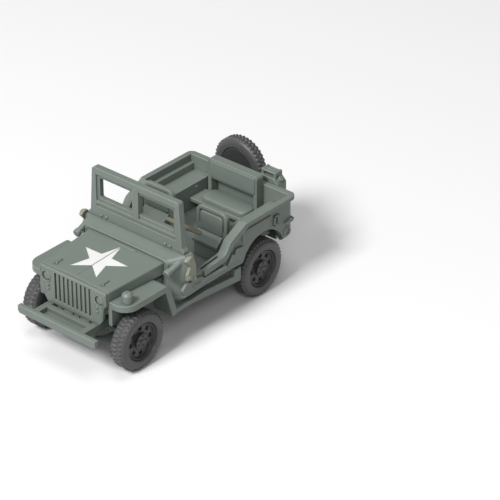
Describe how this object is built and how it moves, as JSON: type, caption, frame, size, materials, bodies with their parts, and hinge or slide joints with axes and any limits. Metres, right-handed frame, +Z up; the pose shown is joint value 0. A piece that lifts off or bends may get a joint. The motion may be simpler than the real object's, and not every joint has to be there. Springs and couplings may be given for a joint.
{
  "type": "toy army 4x4 car",
  "caption": "Open-topped plastic toy field car with an upright windscreen frame, slotted grille, side tools, spare wheel and free-rolling black wheels.",
  "frame": {"origin": "centre of the bounding box on the floor under the tyres", "axes": "+Y towards the rear of the car, +X to the car's left, +Z up"},
  "size_m": [0.0346, 0.0706, 0.0363],
  "materials": {
    "body_plastic": "satin moulded grey-green",
    "chassis_plastic": "satin moulded grey-green",
    "arm_plastic": "satin, paler grey-green",
    "wheel_plastic": "satin black",
    "tyre_rubber": "matt black"
  },
  "bodies": {
    "car": {"axe": "body_plastic", "body_tub": "body_plastic", "can_tray": "body_plastic", "chassis_frame": "chassis_plastic", "cowl": "body_plastic", "driver_seat": "body_plastic", "engine_gearbox": "chassis_plastic", "fender_lamp": "body_plastic", "fender_left": "body_plastic", "fender_right": "body_plastic", "front_axle": "chassis_plastic", "front_bumper": "body_plastic", "front_springs": "chassis_plastic", "gear_levers": "body_plastic", "grille": "body_plastic", "hood": "body_plastic", "jerrycan": "body_plastic", "passenger_seat": "body_plastic", "prop_shafts": "chassis_plastic", "rear_axle": "chassis_plastic", "rear_bumpers": "chassis_plastic", "rear_seat": "body_plastic", "rear_springs": "chassis_plastic", "screen_arms": "arm_plastic", "shovel": "body_plastic", "spare_carrier": "body_plastic", "spare_rim": "wheel_plastic", "spare_tyre": "tyre_rubber", "steering_column": "body_plastic", "steering_wheel": "body_plastic", "tow_hook": "chassis_plastic", "windscreen": "body_plastic"},
    "wheel_front_left": {"rim_front_left": "wheel_plastic", "tyre_front_left": "tyre_rubber"},
    "wheel_front_right": {"rim_front_right": "wheel_plastic", "tyre_front_right": "tyre_rubber"},
    "wheel_rear_left": {"rim_rear_left": "wheel_plastic", "tyre_rear_left": "tyre_rubber"},
    "wheel_rear_right": {"rim_rear_right": "wheel_plastic", "tyre_rear_right": "tyre_rubber"}
  },
  "joints": [
    {"name": "spin_front_left", "type": "hinge", "parent": "car", "child": "wheel_front_left", "pos_m": [0.0141, -0.02325, 0.0074], "axis": [1, 0, 0], "continuous": true},
    {"name": "spin_front_right", "type": "hinge", "parent": "car", "child": "wheel_front_right", "pos_m": [-0.0141, -0.02325, 0.0074], "axis": [1, 0, 0], "continuous": true},
    {"name": "spin_rear_left", "type": "hinge", "parent": "car", "child": "wheel_rear_left", "pos_m": [0.0141, 0.01915, 0.0074], "axis": [1, 0, 0], "continuous": true},
    {"name": "spin_rear_right", "type": "hinge", "parent": "car", "child": "wheel_rear_right", "pos_m": [-0.0141, 0.01915, 0.0074], "axis": [1, 0, 0], "continuous": true}
  ]
}
